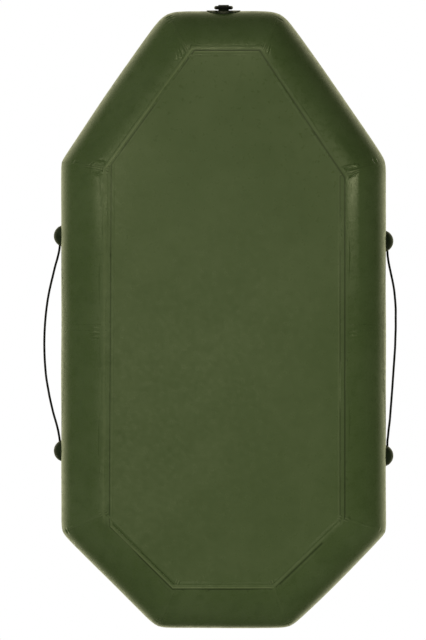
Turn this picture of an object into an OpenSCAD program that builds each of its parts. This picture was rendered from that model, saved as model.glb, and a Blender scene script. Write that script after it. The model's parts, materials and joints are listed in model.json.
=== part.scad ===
// Small inflatable rowing boat with an eight-sided ring of air tubes, a flat floor,
// a sliding seat, swivelling rowlocks, two air valves, grab lines and a bow tow ring.
// Frame: +X starboard, +Y towards the bow, +Z up, origin under the middle of the boat.

/* [Hull] */
// Length over the tubes
hull_length = 1900; // [1850:10:1950]
// Width over the tubes
hull_width = 1000; // [960:10:1040]
// Diameter of the inflated tubes
tube_d = 260; // [250:2:270]
// Thickness of the coated tube fabric
fabric_t = 1; // [0.8:0.1:1.2]
// Outer width of the flat bow
bow_flat = 358; // [330:2:400]
// Length of the tapered bow quarters
bow_taper = 465; // [440:5:490]
// Outer width of the flat stern
stern_flat = 410; // [380:2:450]
// Length of the tapered stern quarters
stern_taper = 295; // [280:5:310]
// Place of the two bulkheads between the bow and stern chambers
bulkhead_y = -34; // [-40:2:0]

/* [Floor and seams] */
// Thickness of the floor fabric
floor_t = 1; // [0.8:0.1:1.4]
// Distance of the floor's edge from the hull's outer edge
floor_inset = 130; // [124:1:136]
// Thickness of the seam tapes
tape_t = 0.8; // [0.5:0.1:1]
// Width of the tape round the floor's edge
floor_tape_w = 40; // [30:1:48]
// Width of the tapes over the corner joints of the tubes
corner_tape_w = 28; // [20:1:40]

/* [Grab lines] */
// Diameter of the rope
rope_d = 7; // [6:0.5:7]
// Radius of the domed rope holders
dome_r = 34; // [32:1:36]
// Height of the holders round the tube, in degrees above its widest line
holder_lift = 20; // [20:1:22]
// Fore and aft holders on the starboard side
starboard_holder_y = [248, -414];
// Fore and aft holders on the port side
port_holder_y = [232, -429];

/* [Bow tow ring] */
// Radius of the round pad on the bow
bow_pad_r = 52; // [48:1:56]
// Thickness of the ring's bar
ring_bar_d = 11; // [10:0.5:11]
// Width of the ring between the middles of its legs
ring_w = 47; // [46:1:50]

/* [Rowlocks] */
// Place of the rowlocks along the boat
rowlock_y = -120; // [-160:5:-110]
// Inner radius of the ring that holds the oar
oar_ring_r = 21; // [18:0.5:22]
// Width of that ring along the oar
oar_ring_w = 24; // [20:1:28]
// Radius of the shank that turns in the base
shank_r = 8; // [7:0.5:9]

/* [Seat] */
// Width of the seat board across the boat
seat_w = 632; // [600:2:636]
// Depth of the seat board along the boat
seat_depth = 200; // [180:5:220]
// Thickness of the plywood
seat_t = 12; // [10:1:15]
// Place of the seat along the boat
seat_y = 170; // [120:5:220]

/* [Valves] */
// Radius of the port that takes the pump's nozzle
pump_port_r = 12; // [11.5:0.1:12.2]
// Tilt of the valves round the tube, in degrees from its outer side
valve_lift = 130; // [120:1:140]

/* [Hidden] */
$fn = 96;

olive = "#45542c";
dark_olive = "#2f3a1f";
tape_olive = "#4b5a31";
black = "#161816";
steel = "#b9bcc0";
plywood = "#b98a52";

tube_r = tube_d / 2;
bow_pad_t = 2;
ring_bar_r = ring_bar_d / 2;
barrel_r = ring_bar_r + 3.5;
// Height of the tow ring's axis over the bow tube
barrel_rise = 10;
eye_proud = barrel_rise + barrel_r;
bow_y = (hull_length - eye_proud) / 2;
stern_y = bow_y - hull_length;
axis_z = tape_t + floor_t + tube_r;
top_z = axis_z + tube_r;
side_x = hull_width / 2 - tube_r;

// The hull's outline, clockwise from above, from the starboard bow corner.
STARBOARD_BOW = 0;
STARBOARD = 1;
STARBOARD_STERN = 2;
STERN = 3;
PORT_STERN = 4;
PORT = 5;
PORT_BOW = 6;
BOW = 7;
starboard_outline = [
    [bow_flat / 2, bow_y],
    [hull_width / 2, bow_y - bow_taper],
    [hull_width / 2, stern_y + stern_taper],
    [stern_flat / 2, stern_y]
];
outline = concat(
    starboard_outline,
    [for (i = [3:-1:0]) [-starboard_outline[i].x, starboard_outline[i].y]]
);

function inward(a, b) = let (d = (b - a) / norm(b - a)) [d.y, -d.x];

// Corner i of the outline after every edge has moved inwards by the same distance.
function inset_corner(i, inset) =
    let (
        a = outline[(i + 7) % 8],
        b = outline[i],
        c = outline[(i + 1) % 8],
        p = b + inset * inward(a, b),
        q = b + inset * inward(b, c),
        t = cross(q - p, c - b) / cross(b - a, c - b)
    )
    p + t * (b - a);

function inset_outline(inset) = [for (i = [0:7]) inset_corner(i, inset)];

axis_line = inset_outline(tube_r);

function heading(i) =
    let (d = outline[(i + 1) % 8] - outline[i]) atan2(-d.x, d.y);

// Puts local Y along edge i of the hull, at the middle of its tube's axis.
module along_edge(i) {
    middle = (axis_line[i] + axis_line[(i + 1) % 8]) / 2;
    translate([middle.x, middle.y, axis_z]) rotate([0, 0, heading(i)]) children();
}

// Turns local Z round tube i: 0 is outboard, 90 is up and 180 is inboard.
module round_tube(i, lift) {
    along_edge(i) rotate([0, lift - 90, 0]) children();
}

module port_side() {
    mirror([1, 0, 0]) children();
}

module ring(r_out, r_in, z0, z1) {
    translate([0, 0, z0]) difference() {
        cylinder(r = r_out, h = z1 - z0);
        translate([0, 0, -1]) cylinder(r = r_in, h = z1 - z0 + 2);
    }
}

module disc(r, z0, z1) {
    translate([0, 0, z0]) cylinder(r = r, h = z1 - z0);
}

// ---- Air tubes -------------------------------------------------------------

LONG = 2400;

module rod(r) {
    rotate([90, 0, 0]) cylinder(r = r, h = LONG, center = true, $fn = 180);
}

// The stretch of plan between the two mitre planes of edge i.
module mitre_wedge(i) {
    outer = inset_outline(-40);
    inner = inset_outline(tube_d + 20);
    j = (i + 1) % 8;
    linear_extrude(height = 3 * tube_d)
        polygon([outer[i], outer[j], inner[j], inner[i]]);
}

module tube_section(i, r_out = tube_r, r_in = tube_r - fabric_t) {
    intersection() {
        along_edge(i) difference() {
            rod(r_out);
            rod(r_in);
        }
        translate([0, 0, -tube_d]) mitre_wedge(i);
    }
}

module side_tube(fore) {
    big = 2 * hull_length;
    intersection() {
        tube_section(STARBOARD);
        translate([0, fore ? bulkhead_y : bulkhead_y - big, -big / 2])
            cube([big, big, big]);
    }
}

module end_tube(i) {
    difference() {
        tube_section(i);
        round_tube(i, valve_lift) cylinder(r = valve_hole_r, h = 2 * tube_r);
    }
}

module bulkhead() {
    gap = 0.1;
    translate([side_x, bulkhead_y, axis_z]) rotate([90, 0, 0])
        cylinder(r = tube_r - fabric_t - gap, h = fabric_t, center = true, $fn = 180);
}

// ---- Floor and tapes -------------------------------------------------------

module floor_sheet() {
    translate([0, 0, tape_t]) linear_extrude(height = floor_t)
        polygon(inset_outline(floor_inset));
}

// One strip of tape under each edge of the floor, with a hair's gap at the mitres.
module floor_edge_tape() {
    gap = 0.4;
    outer = inset_outline(floor_inset - floor_tape_w / 2);
    inner = inset_outline(floor_inset + floor_tape_w / 2);
    for (i = [0:7]) {
        j = (i + 1) % 8;
        along = (outer[j] - outer[i]) / norm(outer[j] - outer[i]);
        linear_extrude(height = tape_t) polygon([
            outer[i] + gap * along, outer[j] - gap * along,
            inner[j] - gap * along, inner[i] + gap * along
        ]);
    }
}

// How far the tapes over the joints stop above the tube's lowest line.
tape_lift = 6;

// Half of a corner tape: a strip of the skin of tube i beside its mitre at corner k, which is
// on the left of the way out of the corner for side 1, and on the right for side -1.
module corner_tape_half(i, k, side) {
    gap = 0.1;
    reach = inset_corner(k, 0) - inset_corner(k, tube_d);
    intersection() {
        tube_section(i, tube_r + tape_t, tube_r);
        translate([axis_line[k].x, axis_line[k].y, axis_z + tape_lift])
            rotate([0, 0, atan2(reach.y, reach.x)])
            translate([0, side * corner_tape_w / 4, 0])
            cube([2 * tube_d, corner_tape_w / 2 - 2 * gap, tube_d], center = true);
    }
}

module corner_tapes() {
    for (k = [0:7]) {
        corner_tape_half((k + 7) % 8, k, 1);
        corner_tape_half(k, k, -1);
    }
}

// The tape stops each side of the seat track's foot.
module chamber_tape() {
    difference() {
        intersection() {
            tube_section(STARBOARD, tube_r + tape_t, tube_r);
            translate([side_x, bulkhead_y, axis_z + tape_lift])
                cube([2 * tube_d, corner_tape_w, tube_d], center = true);
        }
        translate([0, bulkhead_y + corner_tape_w, 0]) rotate([90, 0, 0])
            linear_extrude(height = 2 * corner_tape_w) track_sector(foot_deg + 0.4);
    }
}

// ---- Swept tubes -----------------------------------------------------------

function unit(v) = v / norm(v);

function tangent(p, i) =
    unit(p[min(i + 1, len(p) - 1)] - p[max(i - 1, 0)]);

// A closed skin of circles with n sides round the points p; up is never along p.
module sweep(p, r, n, up) {
    m = len(p);
    points = [
        for (i = [0:m - 1])
            let (t = tangent(p, i), a = unit(cross(t, up)), b = cross(t, a))
            for (k = [0:n - 1])
                p[i] + r * (cos(360 * k / n) * a + sin(360 * k / n) * b)
    ];
    sides = [
        for (i = [0:m - 2], k = [0:n - 1])
            let (l = (k + 1) % n)
            [i * n + k, i * n + l, (i + 1) * n + l, (i + 1) * n + k]
    ];
    ends = [[for (k = [n - 1:-1:0]) k], [for (k = [0:n - 1]) (m - 1) * n + k]];
    polyhedron(points = points, faces = concat(sides, ends), convexity = 6);
}

// ---- Grab lines ------------------------------------------------------------

dome_sink = 3;
rope_rise = dome_r / 2;
rope_axis_r = tube_r - dome_sink + rope_rise;
tunnel_r = rope_d / 2 + 0.7;
knot_r = 8;
knot_face = 14;
holder_flange_r = 41;
holder_flange_t = 2;

// The side of a holder that its rope leaves from.
AFT = -1;
FORE = 1;

// A starboard holder, with a pocket for the knot on the side away from the rope.
module rope_holder(y, toward) {
    translate([side_x, y, axis_z]) rotate([0, 90 - holder_lift, 0]) difference() {
        union() {
            intersection() {
                rod(tube_r + holder_flange_t);
                cylinder(r = holder_flange_r, h = 2 * tube_r);
            }
            translate([0, 0, tube_r - dome_sink]) sphere(r = dome_r);
        }
        rod(tube_r);
        translate([0, 0, rope_axis_r]) rotate([90, 0, 0]) {
            cylinder(r = tunnel_r, h = 4 * dome_r, center = true);
            translate([0, 0, toward < 0 ? -2 * dome_r : knot_face - 0.5])
                cylinder(r = knot_r + 1, h = 2 * dome_r - knot_face + 0.5);
        }
    }
}

module rope_knot(y, toward) {
    translate([side_x, y, axis_z]) rotate([0, 90 - holder_lift, 0])
        translate([0, -toward * (knot_face + knot_r - 1), rope_axis_r])
        intersection() {
            sphere(r = knot_r);
            translate([0, -toward * 1, 0]) cube(2 * knot_r, center = true);
        }
}

// Routes of the ropes, from inside the fore holder to inside the aft one.
starboard_route = [
    [505, 262, 181], [505, 240, 181], [505, 218, 181], [507, 202, 180], [512, 180, 177], [519, 155, 172],
    [525, 130, 166], [531, 105, 160], [537, 78, 154], [542, 50, 148], [546, 20, 143],
    [549, -10, 139], [551, -40, 136], [552, -70, 135], [552, -100, 135], [551, -130, 136],
    [549, -160, 139], [546, -190, 143], [541, -220, 148], [536, -248, 154],
    [530, -275, 160], [524, -300, 166], [517, -324, 172], [511, -347, 177],
    [507, -368, 180], [505, -384, 181], [505, -406, 181], [505, -428, 181]
];
port_route = [
    [-505, 246, 181], [-505, 224, 181], [-505, 202, 181], [-506, 186, 179], [-509, 165, 175],
    [-514, 140, 168], [-520, 112, 159], [-525, 84, 150], [-528, 55, 142],
    [-530, 25, 135], [-530, -5, 129], [-530, -35, 125], [-529, -65, 122],
    [-528, -95, 121], [-526, -125, 121], [-524, -155, 123], [-522, -185, 127],
    [-520, -215, 132], [-518, -243, 138], [-516, -270, 145], [-514, -297, 153],
    [-512, -322, 161], [-509, -347, 170], [-507, -368, 176], [-505, -386, 180],
    [-505, -400, 181], [-505, -422, 181], [-505, -443, 181]
];
UP = [0.2, 0, 1];

module grab_line(route) {
    sweep(route, rope_d / 2, 8, UP);
}

// ---- Bow tow ring ----------------------------------------------------------

barrel_w = 32.4;
running_gap = 0.08;
leg_bend = 7;
leg = 8;

module eye() {
    web = 20;
    round_tube(BOW, 0) difference() {
        union() {
            intersection() {
                rod(tube_r + bow_pad_t);
                cylinder(r = bow_pad_r, h = 2 * tube_r);
            }
            translate([-web / 2, -barrel_w / 2, tube_r - 4])
                cube([web, barrel_w, barrel_rise]);
            translate([0, 0, tube_r + barrel_rise]) rotate([90, 0, 0])
                cylinder(r = barrel_r, h = barrel_w, center = true);
        }
        rod(tube_r);
        translate([0, 0, tube_r + barrel_rise]) rotate([90, 0, 0])
            cylinder(r = ring_bar_r + running_gap, h = 2 * barrel_w, center = true);
    }
}

// A D-shaped ring that hangs from a bar along X.
module d_ring() {
    half = ring_w / 2;
    translate([0, bow_y + barrel_rise, axis_z]) rotate([90, 0, 0]) {
        rotate([0, 90, 0])
            cylinder(r = ring_bar_r, h = ring_w - 2 * leg_bend, center = true);
        for (side = [-1, 1]) {
            translate([side * (half - leg_bend), -leg_bend, 0])
                rotate([0, 0, side > 0 ? 0 : 90])
                rotate_extrude(angle = 90) translate([leg_bend, 0]) circle(r = ring_bar_r);
            translate([side * half, -leg_bend, 0]) rotate([90, 0, 0])
                cylinder(r = ring_bar_r, h = leg);
        }
        translate([0, -leg_bend - leg, 0]) rotate([0, 0, 180])
            rotate_extrude(angle = 180) translate([half, 0]) circle(r = ring_bar_r);
    }
}

// ---- Rowlocks --------------------------------------------------------------

patch_t = 1.2;
boss_r = 20;
foot_r = 46;
boss_z = 44;
keeper_z = 24;
keeper_t = 2.4;
groove_r = 6;
slack = 0.4;

module at_rowlock() {
    translate([side_x, rowlock_y, top_z]) children();
}

module swivel_patch() {
    intersection() {
        translate([side_x, rowlock_y, axis_z]) difference() {
            rod(tube_r + patch_t);
            rod(tube_r);
        }
        at_rowlock() cylinder(r = 62, h = 100, center = true);
    }
}

module swivel_base() {
    difference() {
        at_rowlock() {
            disc(foot_r, -12, 8);
            translate([0, 0, 8]) cylinder(r1 = foot_r, r2 = boss_r, h = 9);
            disc(boss_r, 16, boss_z);
        }
        translate([side_x, rowlock_y, axis_z]) rod(tube_r + patch_t);
        at_rowlock() {
            disc(shank_r + running_gap, 6, boss_z + 1);
            translate([-14 - slack, -30, keeper_z])
                cube([28 + 2 * slack, 42, keeper_t + slack]);
        }
    }
}

module swivel() {
    flange_z = boss_z + 0.3;
    ring_z = flange_z + 4 + oar_ring_r + 9;
    at_rowlock() {
        difference() {
            disc(shank_r, 7, flange_z + 1);
            ring(shank_r + 1, groove_r, keeper_z - slack, keeper_z + keeper_t + slack);
        }
        difference() {
            union() {
                disc(17, flange_z, flange_z + 5);
                translate([0, 0, ring_z]) rotate([0, 90, 0])
                    cylinder(r = oar_ring_r + 10, h = oar_ring_w, center = true);
            }
            translate([0, 0, ring_z]) rotate([0, 90, 0])
                cylinder(r = oar_ring_r, h = 2 * oar_ring_w, center = true);
        }
    }
}

// A fork of sheet steel that slides into the groove of the shank.
module keeper() {
    at_rowlock() translate([0, 0, keeper_z]) difference() {
        union() {
            translate([-14, -24, 0]) cube([28, 34, keeper_t]);
            translate([-14, -26, 0]) cube([28, 2.4, 9]);
        }
        translate([0, 0, -1]) cylinder(r = groove_r + slack, h = 9);
        translate([-groove_r - slack, 0, -1]) cube([2 * (groove_r + slack), 20, 9]);
    }
}

// ---- Sliding seat ----------------------------------------------------------

track_x = 290;
track_y = [-330, 370];
bead_r = 4;
bead_z = 249;
seat_z = 260;
slider_wall = 7;
slider_flange = 3;
bolt_r = 3;
bolt_x = 272;
bolt_y = 70;
bolt_head_r = 6.5;
bolt_head_h = 3.4;
foot_deg = 7;
track_deg = asin((side_x - track_x) / tube_r);

module track_length() {
    translate([0, track_y[1], 0]) rotate([90, 0, 0])
        linear_extrude(height = track_y[1] - track_y[0]) children();
}

// The part of the tube's cross-section within deg each side of the track's middle.
module track_sector(deg) {
    translate([side_x, axis_z]) rotate([0, 0, 90 + track_deg]) polygon([
        [0, 0],
        2 * tube_r * [cos(deg), -sin(deg)],
        2 * tube_r * [cos(deg), sin(deg)]
    ]);
}

// A welt of fabric over a cord: a glued foot, a thin web and a round bead.
module track() {
    track_length() difference() {
        union() {
            intersection() {
                translate([side_x, axis_z]) circle(r = tube_r + fabric_t, $fn = 180);
                track_sector(foot_deg);
            }
            translate([track_x - 1, bead_z - 20]) square([2, 20]);
            translate([track_x, bead_z]) circle(r = bead_r);
        }
        translate([side_x, axis_z]) circle(r = tube_r, $fn = 180);
    }
}

module slider_profile() {
    bottom_z = bead_z - 5.5;
    translate([0, seat_y + seat_depth / 2, 0]) rotate([90, 0, 0])
        linear_extrude(height = seat_depth) difference() {
            union() {
                translate([track_x - slider_wall, bottom_z])
                    square([2 * slider_wall, seat_z - bottom_z]);
                translate([track_x - 28, seat_z - slider_flange])
                    square([28, slider_flange]);
            }
            translate([track_x, bead_z]) circle(r = bead_r + 0.6);
            translate([track_x - 1.8, bottom_z - 1]) square([3.6, 6]);
        }
}

module slider() {
    difference() {
        slider_profile();
        at_seat_bolts() translate([0, 0, seat_z - 10]) cylinder(r = bolt_r + 0.3, h = 20);
    }
}

module at_seat_bolts() {
    for (x = [-1, 1], y = [-1, 1])
        translate([x * bolt_x, seat_y + y * bolt_y, 0]) children();
}

module board() {
    corner_r = 28;
    difference() {
        hull() for (x = [-1, 1], y = [-1, 1])
            translate([
                x * (seat_w / 2 - corner_r),
                seat_y + y * (seat_depth / 2 - corner_r),
                seat_z
            ]) cylinder(r = corner_r, h = seat_t, $fn = 64);
        at_seat_bolts() {
            translate([0, 0, seat_z - 1]) cylinder(r = bolt_r + 0.3, h = seat_t + 2);
            translate([0, 0, seat_z + seat_t]) rotate([180, 0, 0])
                countersink(bolt_head_r + 0.3, bolt_head_h + 0.2);
        }
    }
}

// A cone that opens downwards from r at z = 0, with a short straight mouth above it.
module countersink(r, depth) {
    translate([0, 0, -1]) cylinder(r = r, h = 1.2);
    translate([0, 0, 0.2]) cylinder(r1 = r, r2 = bolt_r, h = depth - 0.2);
}

module bolts() {
    head_z = seat_z + seat_t - 0.2;
    at_seat_bolts() {
        disc(bolt_r, seat_z - slider_flange - 8, head_z - bolt_head_h + 0.5);
        translate([0, 0, head_z - bolt_head_h])
            cylinder(r1 = bolt_r, r2 = bolt_head_r, h = bolt_head_h);
    }
}

module nuts() {
    at_seat_bolts() difference() {
        translate([0, 0, seat_z - slider_flange - 5]) cylinder(r = 5.8, h = 5, $fn = 6);
        disc(bolt_r, seat_z - 20, seat_z);
    }
}

// ---- Air valves, built with z = 0 on the tube's skin -----------------------

barrel_hole_slack = 0.2;
valve_barrel_r = 16;
valve_hole_r = valve_barrel_r + barrel_hole_slack;
valve_flange_z = 1.2;
neck_z = 4.2;
neck_top = 13;
neck_r = 15;
seat_lip_z = -7;
spider_z = -24;
spring_z = [-22, -9.6];
stem_r = 2.2;
cap_z = [5.9, 18];

module at_valve(i) {
    round_tube(i, valve_lift) translate([0, 0, tube_r]) children();
}

// A moulded saddle that turns the round tube into a flat seat for the valve.
module valve_patch() {
    difference() {
        union() {
            disc(34, -6, 0.2);
            translate([0, 0, 0.2]) cylinder(r1 = 34, r2 = 32, h = valve_flange_z - 0.2);
        }
        translate([0, 0, -tube_r]) rod(tube_r);
        disc(valve_hole_r, -20, 5);
    }
}

module valve_body() {
    difference() {
        union() {
            disc(27, valve_flange_z, neck_z - 1);
            translate([0, 0, neck_z - 1]) cylinder(r1 = 27, r2 = 25, h = 1);
            disc(valve_barrel_r, spider_z, neck_z);
            disc(neck_r, neck_z - 1, neck_top);
        }
        disc(pump_port_r, 3, neck_top + 1);
        disc(10.5, -5, 4);
        disc(8, seat_lip_z - 1, -4);
        disc(13, spider_z - 1, seat_lip_z);
    }
    difference() {
        union() {
            disc(4, spider_z, spider_z + 2);
            for (a = [0, 120, 240]) rotate([0, 0, a])
                translate([0, -1.25, spider_z]) cube([13.5, 2.5, 2]);
        }
        disc(stem_r + running_gap, spider_z - 1, spider_z + 3);
    }
}

module valve_nut() {
    difference() {
        disc(24, -9.6, -3.6);
        disc(valve_barrel_r, -12, 0);
        for (a = [0:60:300]) rotate([0, 0, a]) translate([25, 0, -12])
            cylinder(r = 3, h = 12);
    }
}

module valve_poppet() {
    disc(10.2, spring_z[1], -8);
    disc(stem_r, spider_z - 2, 1);
    disc(4, 0.6, 2);
}

module valve_poppet_seal() {
    ring(10.4, 4, -8, seat_lip_z - 0.1);
}

// A compression spring between the spider and the poppet.
module valve_spring() {
    wire_r = 0.5;
    coil_r = 6;
    turns = 5;
    steps = 14 * turns;
    travel = spring_z[1] - spring_z[0] - 2 * wire_r;
    sweep(
        [for (i = [0:steps]) let (a = 360 * turns * i / steps) [
            coil_r * cos(a), coil_r * sin(a), spring_z[0] + wire_r + travel * i / steps
        ]],
        wire_r * 0.95, 8, [0, 0, 1]
    );
}

module valve_cap() {
    difference() {
        union() {
            disc(19.5, cap_z[0], cap_z[1] - 1.5);
            translate([0, 0, cap_z[1] - 1.5]) cylinder(r1 = 19.5, r2 = 18, h = 1.5);
        }
        disc(neck_r + 0.4, cap_z[0] - 1, 15);
        for (a = [0:30:330]) rotate([0, 0, a]) translate([21.5, 0, 0])
            cylinder(r = 3, h = 30);
    }
    disc(5, cap_z[1] - 0.5, 21);
    disc(6.5, 20.6, 22);
}

module valve_cap_seal() {
    ring(neck_r, 12.2, neck_top + 0.3, 15);
}

// A loop round the neck, a strap over the cap's side and an eye under its knob.
module valve_tether() {
    strap_w = 9;
    eye_z = [18.2, 20.2];
    ring(19, neck_r + 0.3, neck_z + 0.1, 5.7);
    translate([-strap_w / 2, 18, neck_z + 0.1]) cube([strap_w, 8, 1.5]);
    translate([-strap_w / 2, 24.4, neck_z + 0.1]) cube([strap_w, 1.6, eye_z[1] - neck_z - 0.1]);
    difference() {
        union() {
            disc(9, eye_z[0], eye_z[1]);
            translate([-strap_w / 2, 0, eye_z[0]]) cube([strap_w, 26, eye_z[1] - eye_z[0]]);
        }
        disc(5.4, eye_z[0] - 1, eye_z[1] + 1);
    }
}

// ---- The boat --------------------------------------------------------------

module bow_tube() color(olive) end_tube(BOW);
module starboard_bow_tube() color(olive) tube_section(STARBOARD_BOW);
module starboard_fore_tube() color(olive) side_tube(true);
module starboard_aft_tube() color(olive) side_tube(false);
module starboard_stern_tube() color(olive) tube_section(STARBOARD_STERN);
module stern_tube() color(olive) end_tube(STERN);
module port_stern_tube() color(olive) tube_section(PORT_STERN);
module port_aft_tube() color(olive) port_side() side_tube(false);
module port_fore_tube() color(olive) port_side() side_tube(true);
module port_bow_tube() color(olive) tube_section(PORT_BOW);
module starboard_bulkhead() color(dark_olive) bulkhead();
module port_bulkhead() color(dark_olive) port_side() bulkhead();

module floor_panel() color(olive) floor_sheet();
module floor_seam_tape() color(tape_olive) floor_edge_tape();
module corner_seam_tapes() color(tape_olive) corner_tapes();
module chamber_seam_tapes() color(tape_olive) {
    chamber_tape();
    port_side() chamber_tape();
}

module starboard_fore_rope_holder() color(dark_olive) rope_holder(starboard_holder_y[0], AFT);
module starboard_aft_rope_holder() color(dark_olive) rope_holder(starboard_holder_y[1], FORE);
module port_fore_rope_holder() color(dark_olive) port_side() rope_holder(port_holder_y[0], AFT);
module port_aft_rope_holder() color(dark_olive) port_side() rope_holder(port_holder_y[1], FORE);
module starboard_grab_line() color(black) grab_line(starboard_route);
module port_grab_line() color(black) grab_line(port_route);
module starboard_rope_knots() color(black) {
    rope_knot(starboard_holder_y[0], AFT);
    rope_knot(starboard_holder_y[1], FORE);
}
module port_rope_knots() color(black) port_side() {
    rope_knot(port_holder_y[0], AFT);
    rope_knot(port_holder_y[1], FORE);
}

module bow_eye() color(dark_olive) eye();
module tow_ring() color(black) d_ring();

module starboard_rowlock_patch() color(tape_olive) swivel_patch();
module starboard_rowlock_base() color(dark_olive) swivel_base();
module starboard_rowlock() color(dark_olive) swivel();
module starboard_rowlock_keeper() color(steel) keeper();
module port_rowlock_patch() color(tape_olive) port_side() swivel_patch();
module port_rowlock_base() color(dark_olive) port_side() swivel_base();
module port_rowlock() color(dark_olive) port_side() swivel();
module port_rowlock_keeper() color(steel) port_side() keeper();

module starboard_seat_track() color(dark_olive) track();
module port_seat_track() color(dark_olive) port_side() track();
module starboard_seat_slider() color(black) slider();
module port_seat_slider() color(black) port_side() slider();
module seat_board() color(plywood) board();
module seat_bolts() color(steel) bolts();
module seat_nuts() color(steel) nuts();

module bow_valve_patch() color(dark_olive) at_valve(BOW) valve_patch();
module bow_valve_body() color(black) at_valve(BOW) valve_body();
module bow_valve_nut() color(black) at_valve(BOW) valve_nut();
module bow_valve_poppet() color(steel) at_valve(BOW) valve_poppet();
module bow_valve_poppet_seal() color(black) at_valve(BOW) valve_poppet_seal();
module bow_valve_spring() color(steel) at_valve(BOW) valve_spring();
module bow_valve_cap() color(black) at_valve(BOW) valve_cap();
module bow_valve_cap_seal() color(steel) at_valve(BOW) valve_cap_seal();
module bow_valve_tether() color(black) at_valve(BOW) valve_tether();
module stern_valve_patch() color(dark_olive) at_valve(STERN) valve_patch();
module stern_valve_body() color(black) at_valve(STERN) valve_body();
module stern_valve_nut() color(black) at_valve(STERN) valve_nut();
module stern_valve_poppet() color(steel) at_valve(STERN) valve_poppet();
module stern_valve_poppet_seal() color(black) at_valve(STERN) valve_poppet_seal();
module stern_valve_spring() color(steel) at_valve(STERN) valve_spring();
module stern_valve_cap() color(black) at_valve(STERN) valve_cap();
module stern_valve_cap_seal() color(steel) at_valve(STERN) valve_cap_seal();
module stern_valve_tether() color(black) at_valve(STERN) valve_tether();

bow_tube();
starboard_bow_tube();
starboard_fore_tube();
starboard_aft_tube();
starboard_stern_tube();
stern_tube();
port_stern_tube();
port_aft_tube();
port_fore_tube();
port_bow_tube();
starboard_bulkhead();
port_bulkhead();
floor_panel();
floor_seam_tape();
corner_seam_tapes();
chamber_seam_tapes();
starboard_fore_rope_holder();
starboard_aft_rope_holder();
port_fore_rope_holder();
port_aft_rope_holder();
starboard_grab_line();
port_grab_line();
starboard_rope_knots();
port_rope_knots();
bow_eye();
tow_ring();
starboard_rowlock_patch();
starboard_rowlock_base();
starboard_rowlock();
starboard_rowlock_keeper();
port_rowlock_patch();
port_rowlock_base();
port_rowlock();
port_rowlock_keeper();
starboard_seat_track();
port_seat_track();
starboard_seat_slider();
port_seat_slider();
seat_board();
seat_bolts();
seat_nuts();
bow_valve_patch();
bow_valve_body();
bow_valve_nut();
bow_valve_poppet();
bow_valve_poppet_seal();
bow_valve_spring();
bow_valve_cap();
bow_valve_cap_seal();
bow_valve_tether();
stern_valve_patch();
stern_valve_body();
stern_valve_nut();
stern_valve_poppet();
stern_valve_poppet_seal();
stern_valve_spring();
stern_valve_cap();
stern_valve_cap_seal();
stern_valve_tether();
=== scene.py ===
"""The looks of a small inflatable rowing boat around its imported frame, seen from straight below."""
import json
import math

import bpy
import numpy as np
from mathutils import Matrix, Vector

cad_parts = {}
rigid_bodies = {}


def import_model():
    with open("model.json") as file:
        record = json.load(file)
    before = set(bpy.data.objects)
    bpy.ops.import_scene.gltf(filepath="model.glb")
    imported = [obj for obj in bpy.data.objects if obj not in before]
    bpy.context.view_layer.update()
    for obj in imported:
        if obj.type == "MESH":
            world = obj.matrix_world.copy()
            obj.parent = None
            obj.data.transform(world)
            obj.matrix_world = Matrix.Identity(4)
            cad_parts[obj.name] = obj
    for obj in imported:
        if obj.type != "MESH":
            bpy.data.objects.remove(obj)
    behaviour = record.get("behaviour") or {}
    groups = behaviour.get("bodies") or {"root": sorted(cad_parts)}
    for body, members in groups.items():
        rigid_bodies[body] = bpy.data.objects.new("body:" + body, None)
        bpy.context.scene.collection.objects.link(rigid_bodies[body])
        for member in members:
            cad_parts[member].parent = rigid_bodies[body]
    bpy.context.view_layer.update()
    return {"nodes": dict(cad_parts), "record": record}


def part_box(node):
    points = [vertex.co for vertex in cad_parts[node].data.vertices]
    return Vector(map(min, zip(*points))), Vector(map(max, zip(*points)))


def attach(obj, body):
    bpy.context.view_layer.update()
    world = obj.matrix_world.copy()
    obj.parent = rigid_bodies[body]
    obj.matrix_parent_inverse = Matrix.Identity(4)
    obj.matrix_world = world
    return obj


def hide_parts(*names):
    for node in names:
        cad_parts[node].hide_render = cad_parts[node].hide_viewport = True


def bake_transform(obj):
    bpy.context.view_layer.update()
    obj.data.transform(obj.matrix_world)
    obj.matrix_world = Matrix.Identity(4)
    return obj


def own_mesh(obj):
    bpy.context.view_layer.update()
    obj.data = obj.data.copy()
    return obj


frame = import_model()
scene = bpy.context.scene
nodes = frame["nodes"]
MM = 0.001

# ---- The hull's driving dimensions, read from the frame ---------------------

BOW_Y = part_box("bow_tube")[1].y
STERN_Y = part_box("stern_tube")[0].y
SIDE_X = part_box("starboard_fore_tube")[1].x
SHOULDER_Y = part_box("starboard_fore_tube")[1].y
QUARTER_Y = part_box("starboard_aft_tube")[0].y
BULKHEAD_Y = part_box("starboard_fore_tube")[0].y
BOW_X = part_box("bow_tube")[1].x
STERN_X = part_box("stern_tube")[1].x
TUBE_R = 130 * MM
AXIS_Z = (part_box("stern_tube")[0].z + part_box("stern_tube")[1].z) / 2

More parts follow.
